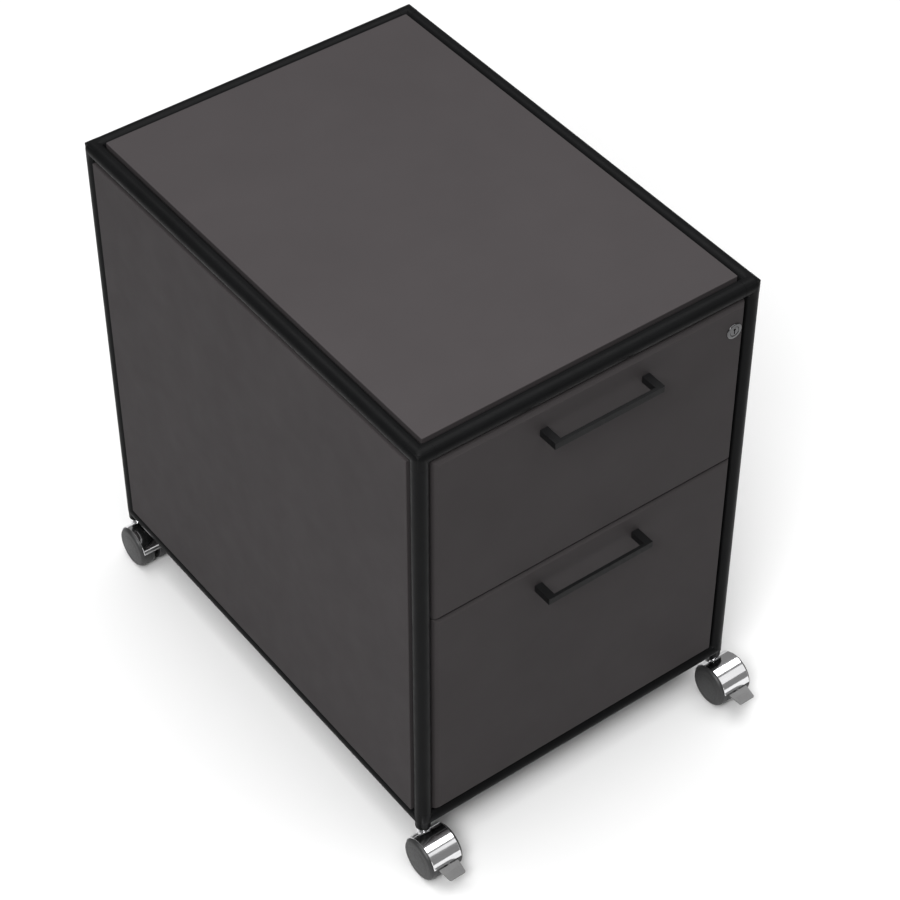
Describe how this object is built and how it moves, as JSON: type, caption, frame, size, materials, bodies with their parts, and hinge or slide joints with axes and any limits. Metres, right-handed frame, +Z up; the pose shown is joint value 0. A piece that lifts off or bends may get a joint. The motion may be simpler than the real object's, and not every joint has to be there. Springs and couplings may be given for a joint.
{
  "type": "rolling pedestal cabinet",
  "caption": "Rolling pedestal cabinet: black tube frame with grey panels, a drawer above a file drawer, bow handles, a lock, and swivel castors.",
  "frame": {"origin": "middle of the bounding box's footprint, on the floor", "axes": "+X to the cabinet's right as seen from its front, -Y out of the drawer fronts, +Z up"},
  "size_m": [0.458, 0.6547, 0.6165],
  "materials": {
    "frame_black": "satin black powder coat",
    "grey_board": "matt dark grey lacquer on board",
    "tray_grey": "fine matt powder coat",
    "handle_black": "matt black",
    "zinc": "bright zinc plate",
    "chrome": "polished chrome",
    "wheel_black": "moulded black plastic",
    "pedal_grey": "moulded grey plastic"
  },
  "bodies": {
    "cabinet": {"upright_front_left": "frame_black", "upright_front_right": "frame_black", "upright_rear_left": "frame_black", "upright_rear_right": "frame_black", "rail_bottom_front": "frame_black", "rail_bottom_rear": "frame_black", "rail_bottom_left": "frame_black", "rail_bottom_right": "frame_black", "corner_bottom_front_left": "frame_black", "corner_bottom_front_right": "frame_black", "corner_bottom_rear_left": "frame_black", "corner_bottom_rear_right": "frame_black", "rail_top_front": "frame_black", "rail_top_rear": "frame_black", "rail_top_left": "frame_black", "rail_top_right": "frame_black", "corner_top_front_left": "frame_black", "corner_top_front_right": "frame_black", "corner_top_rear_left": "frame_black", "corner_top_rear_right": "frame_black", "top_panel": "grey_board", "bottom_panel": "grey_board", "left_panel": "grey_board", "right_panel": "grey_board", "rear_panel": "grey_board", "upper_cabinet_slide_left": "zinc", "upper_cabinet_slide_right": "zinc", "lower_cabinet_slide_left": "zinc", "lower_cabinet_slide_right": "zinc", "castor_front_left_stem": "zinc", "castor_front_right_stem": "zinc", "castor_rear_left_stem": "zinc", "castor_rear_right_stem": "zinc"},
    "upper_drawer": {"upper_front": "grey_board", "upper_tray": "tray_grey", "upper_handle": "handle_black", "upper_drawer_slide_left": "zinc", "upper_drawer_slide_right": "zinc", "lock_housing": "chrome"},
    "lower_drawer": {"lower_front": "grey_board", "lower_tray": "tray_grey", "lower_handle": "handle_black", "lower_drawer_slide_left": "zinc", "lower_drawer_slide_right": "zinc"},
    "lock_plug": {"lock_plug": "chrome"},
    "lock_bar": {"lock_bar": "zinc"},
    "castor_front_left_swivel": {"castor_front_left_hood": "chrome"},
    "castor_front_left_wheel_left": {"castor_front_left_wheel_left": "wheel_black"},
    "castor_front_left_wheel_right": {"castor_front_left_wheel_right": "wheel_black"},
    "castor_front_left_pedal": {"castor_front_left_pedal": "pedal_grey"},
    "castor_front_right_swivel": {"castor_front_right_hood": "chrome"},
    "castor_front_right_wheel_left": {"castor_front_right_wheel_left": "wheel_black"},
    "castor_front_right_wheel_right": {"castor_front_right_wheel_right": "wheel_black"},
    "castor_front_right_pedal": {"castor_front_right_pedal": "pedal_grey"},
    "castor_rear_left_swivel": {"castor_rear_left_hood": "chrome"},
    "castor_rear_left_wheel_left": {"castor_rear_left_wheel_left": "wheel_black"},
    "castor_rear_left_wheel_right": {"castor_rear_left_wheel_right": "wheel_black"},
    "castor_rear_right_swivel": {"castor_rear_right_hood": "chrome"},
    "castor_rear_right_wheel_left": {"castor_rear_right_wheel_left": "wheel_black"},
    "castor_rear_right_wheel_right": {"castor_rear_right_wheel_right": "wheel_black"}
  },
  "joints": [
    {"name": "upper_drawer_travel", "type": "slide", "parent": "cabinet", "child": "upper_drawer", "axis": [0, -1, 0], "range_m": [0, 0.4]},
    {"name": "lower_drawer_travel", "type": "slide", "parent": "cabinet", "child": "lower_drawer", "axis": [0, -1, 0], "range_m": [0, 0.4]},
    {"name": "lock_turn", "type": "hinge", "parent": "upper_drawer", "child": "lock_plug", "pos_m": [0.1795, -0.27275, 0.5653], "axis": [0, -1, 0], "range_deg": [0, 90]},
    {"name": "lock_bar_lift", "type": "slide", "parent": "cabinet", "child": "lock_bar", "axis": [0, 0, 1], "range_m": [0, 0.01]},
    {"name": "castor_front_left_swivel", "type": "hinge", "parent": "cabinet", "child": "castor_front_left_swivel", "pos_m": [-0.206, -0.26375, 0.0545], "axis": [0, 0, 1], "continuous": true},
    {"name": "castor_front_left_wheel_left_roll", "type": "hinge", "parent": "castor_front_left_swivel", "child": "castor_front_left_wheel_left", "pos_m": [-0.206, -0.28325, 0.025], "axis": [1, 0, 0], "continuous": true},
    {"name": "castor_front_left_wheel_right_roll", "type": "hinge", "parent": "castor_front_left_swivel", "child": "castor_front_left_wheel_right", "pos_m": [-0.206, -0.28325, 0.025], "axis": [1, 0, 0], "continuous": true},
    {"name": "castor_front_left_pedal_press", "type": "hinge", "parent": "castor_front_left_swivel", "child": "castor_front_left_pedal", "pos_m": [-0.206, -0.29675, 0.027], "axis": [1, 0, 0], "range_deg": [0, 12]},
    {"name": "castor_front_right_swivel", "type": "hinge", "parent": "cabinet", "child": "castor_front_right_swivel", "pos_m": [0.206, -0.26375, 0.0545], "axis": [0, 0, 1], "continuous": true},
    {"name": "castor_front_right_wheel_left_roll", "type": "hinge", "parent": "castor_front_right_swivel", "child": "castor_front_right_wheel_left", "pos_m": [0.206, -0.28325, 0.025], "axis": [1, 0, 0], "continuous": true},
    {"name": "castor_front_right_wheel_right_roll", "type": "hinge", "parent": "castor_front_right_swivel", "child": "castor_front_right_wheel_right", "pos_m": [0.206, -0.28325, 0.025], "axis": [1, 0, 0], "continuous": true},
    {"name": "castor_front_right_pedal_press", "type": "hinge", "parent": "castor_front_right_swivel", "child": "castor_front_right_pedal", "pos_m": [0.206, -0.29675, 0.027], "axis": [1, 0, 0], "range_deg": [0, 12]},
    {"name": "castor_rear_left_swivel", "type": "hinge", "parent": "cabinet", "child": "castor_rear_left_swivel", "pos_m": [-0.206, 0.31825, 0.0545], "axis": [0, 0, 1], "continuous": true},
    {"name": "castor_rear_left_wheel_left_roll", "type": "hinge", "parent": "castor_rear_left_swivel", "child": "castor_rear_left_wheel_left", "pos_m": [-0.206, 0.29875, 0.025], "axis": [1, 0, 0], "continuous": true},
    {"name": "castor_rear_left_wheel_right_roll", "type": "hinge", "parent": "castor_rear_left_swivel", "child": "castor_rear_left_wheel_right", "pos_m": [-0.206, 0.29875, 0.025], "axis": [1, 0, 0], "continuous": true},
    {"name": "castor_rear_right_swivel", "type": "hinge", "parent": "cabinet", "child": "castor_rear_right_swivel", "pos_m": [0.206, 0.31825, 0.0545], "axis": [0, 0, 1], "continuous": true},
    {"name": "castor_rear_right_wheel_left_roll", "type": "hinge", "parent": "castor_rear_right_swivel", "child": "castor_rear_right_wheel_left", "pos_m": [0.206, 0.29875, 0.025], "axis": [1, 0, 0], "continuous": true},
    {"name": "castor_rear_right_wheel_right_roll", "type": "hinge", "parent": "castor_rear_right_swivel", "child": "castor_rear_right_wheel_right", "pos_m": [0.206, 0.29875, 0.025], "axis": [1, 0, 0], "continuous": true}
  ],
  "couplings": [
    {"joint": "lock_bar_lift", "follows": "lock_turn", "m_per_rad": 0.00636}
  ]
}
